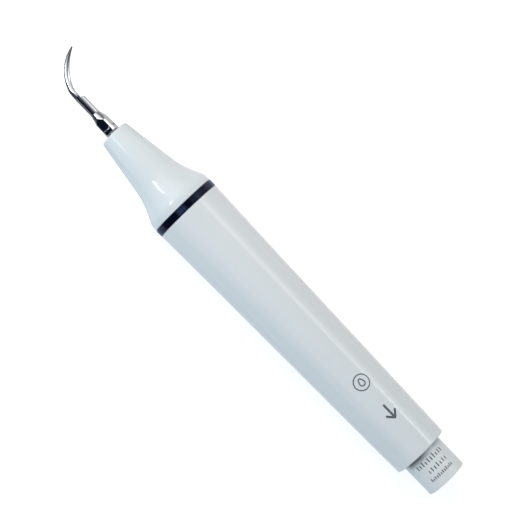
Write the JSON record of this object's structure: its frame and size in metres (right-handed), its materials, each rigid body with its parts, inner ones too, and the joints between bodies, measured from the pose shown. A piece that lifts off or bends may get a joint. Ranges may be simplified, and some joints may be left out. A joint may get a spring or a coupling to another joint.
{
  "type": "ultrasonic scaler handpiece",
  "caption": "Slim tapered dental scaler handpiece: screw-on nose cone, hooked steel scaling tip, piezo transducer inside and a slotted plug-in hose connector.",
  "frame": {"origin": "on the handpiece axis, on the floor of the hose connector's slot, flush with the handle's rear rim", "axes": "+X along the handpiece towards the scaling tip, +Z out of the marked side of the handle, -Y the way the tip's blade curves"},
  "size_m": [0.1487, 0.0194, 0.0194],
  "materials": {
    "white_plastic": "glossy cool-white moulded plastic",
    "connector_plastic": "satin off-white moulded plastic",
    "navy_plastic": "glossy navy-black moulded plastic",
    "inner_plastic": "matte natural engineering plastic",
    "tip_steel": "polished hardened stainless steel",
    "bush_steel": "turned stainless steel",
    "nozzle_steel": "bright turned stainless steel",
    "titanium": "turned titanium alloy",
    "ceramic": "silver-fired piezo ceramic",
    "copper": "soft bronze sheet",
    "gold": "gold-plated brass",
    "o_ring_rubber": "black elastomer",
    "silicone": "translucent silicone",
    "live_insulation": "red wire insulation",
    "return_insulation": "black wire insulation"
  },
  "bodies": {
    "handle": {"handle_sleeve": "white_plastic", "chassis_tube": "inner_plastic", "nose_thread_bush": "bush_steel", "flange_o_ring_front": "o_ring_rubber", "flange_o_ring_rear": "o_ring_rubber", "connector_core": "connector_plastic", "core_o_ring": "o_ring_rubber", "water_nozzle": "nozzle_steel", "nozzle_o_ring_rear": "o_ring_rubber", "nozzle_o_ring_front": "o_ring_rubber", "contact_1": "gold", "contact_2": "gold", "contact_3": "gold", "live_lead": "live_insulation", "return_lead": "return_insulation", "water_tube": "silicone"},
    "ring": {"decor_ring": "navy_plastic"},
    "nose": {"nose_cone": "white_plastic", "nose_o_ring": "o_ring_rubber"},
    "transducer": {"horn": "titanium", "electrode_1": "copper", "electrode_2": "copper", "electrode_3": "copper", "electrode_4": "copper", "electrode_5": "copper", "piezo_ring_1": "ceramic", "piezo_ring_2": "ceramic", "piezo_ring_3": "ceramic", "piezo_ring_4": "ceramic", "live_jumper": "copper", "return_jumper": "copper", "insulating_sleeve": "inner_plastic", "rear_mass": "bush_steel", "preload_bolt": "bush_steel"},
    "tip": {"scaler_tip": "tip_steel"}
  },
  "joints": [
    {"name": "nose_advance", "type": "slide", "parent": "handle", "child": "ring", "axis": [1, 0, 0], "range_m": [0, 0.0045]},
    {"name": "nose_turn", "type": "hinge", "parent": "ring", "child": "nose", "pos_m": [0.1, 0, 0], "axis": [1, 0, 0], "range_deg": [0, 1620]},
    {"name": "tip_vibration", "type": "slide", "parent": "handle", "child": "transducer", "axis": [1, 0, 0], "range_m": [-0.00005, 0.00005]},
    {"name": "tip_turn", "type": "hinge", "parent": "transducer", "child": "tip", "pos_m": [0.1153, 0, 0], "axis": [1, 0, 0], "range_deg": [0, 1890]}
  ],
  "couplings": [
    {"joint": "nose_advance", "follows": "nose_turn", "m_per_rad": 0.00015915}
  ]
}
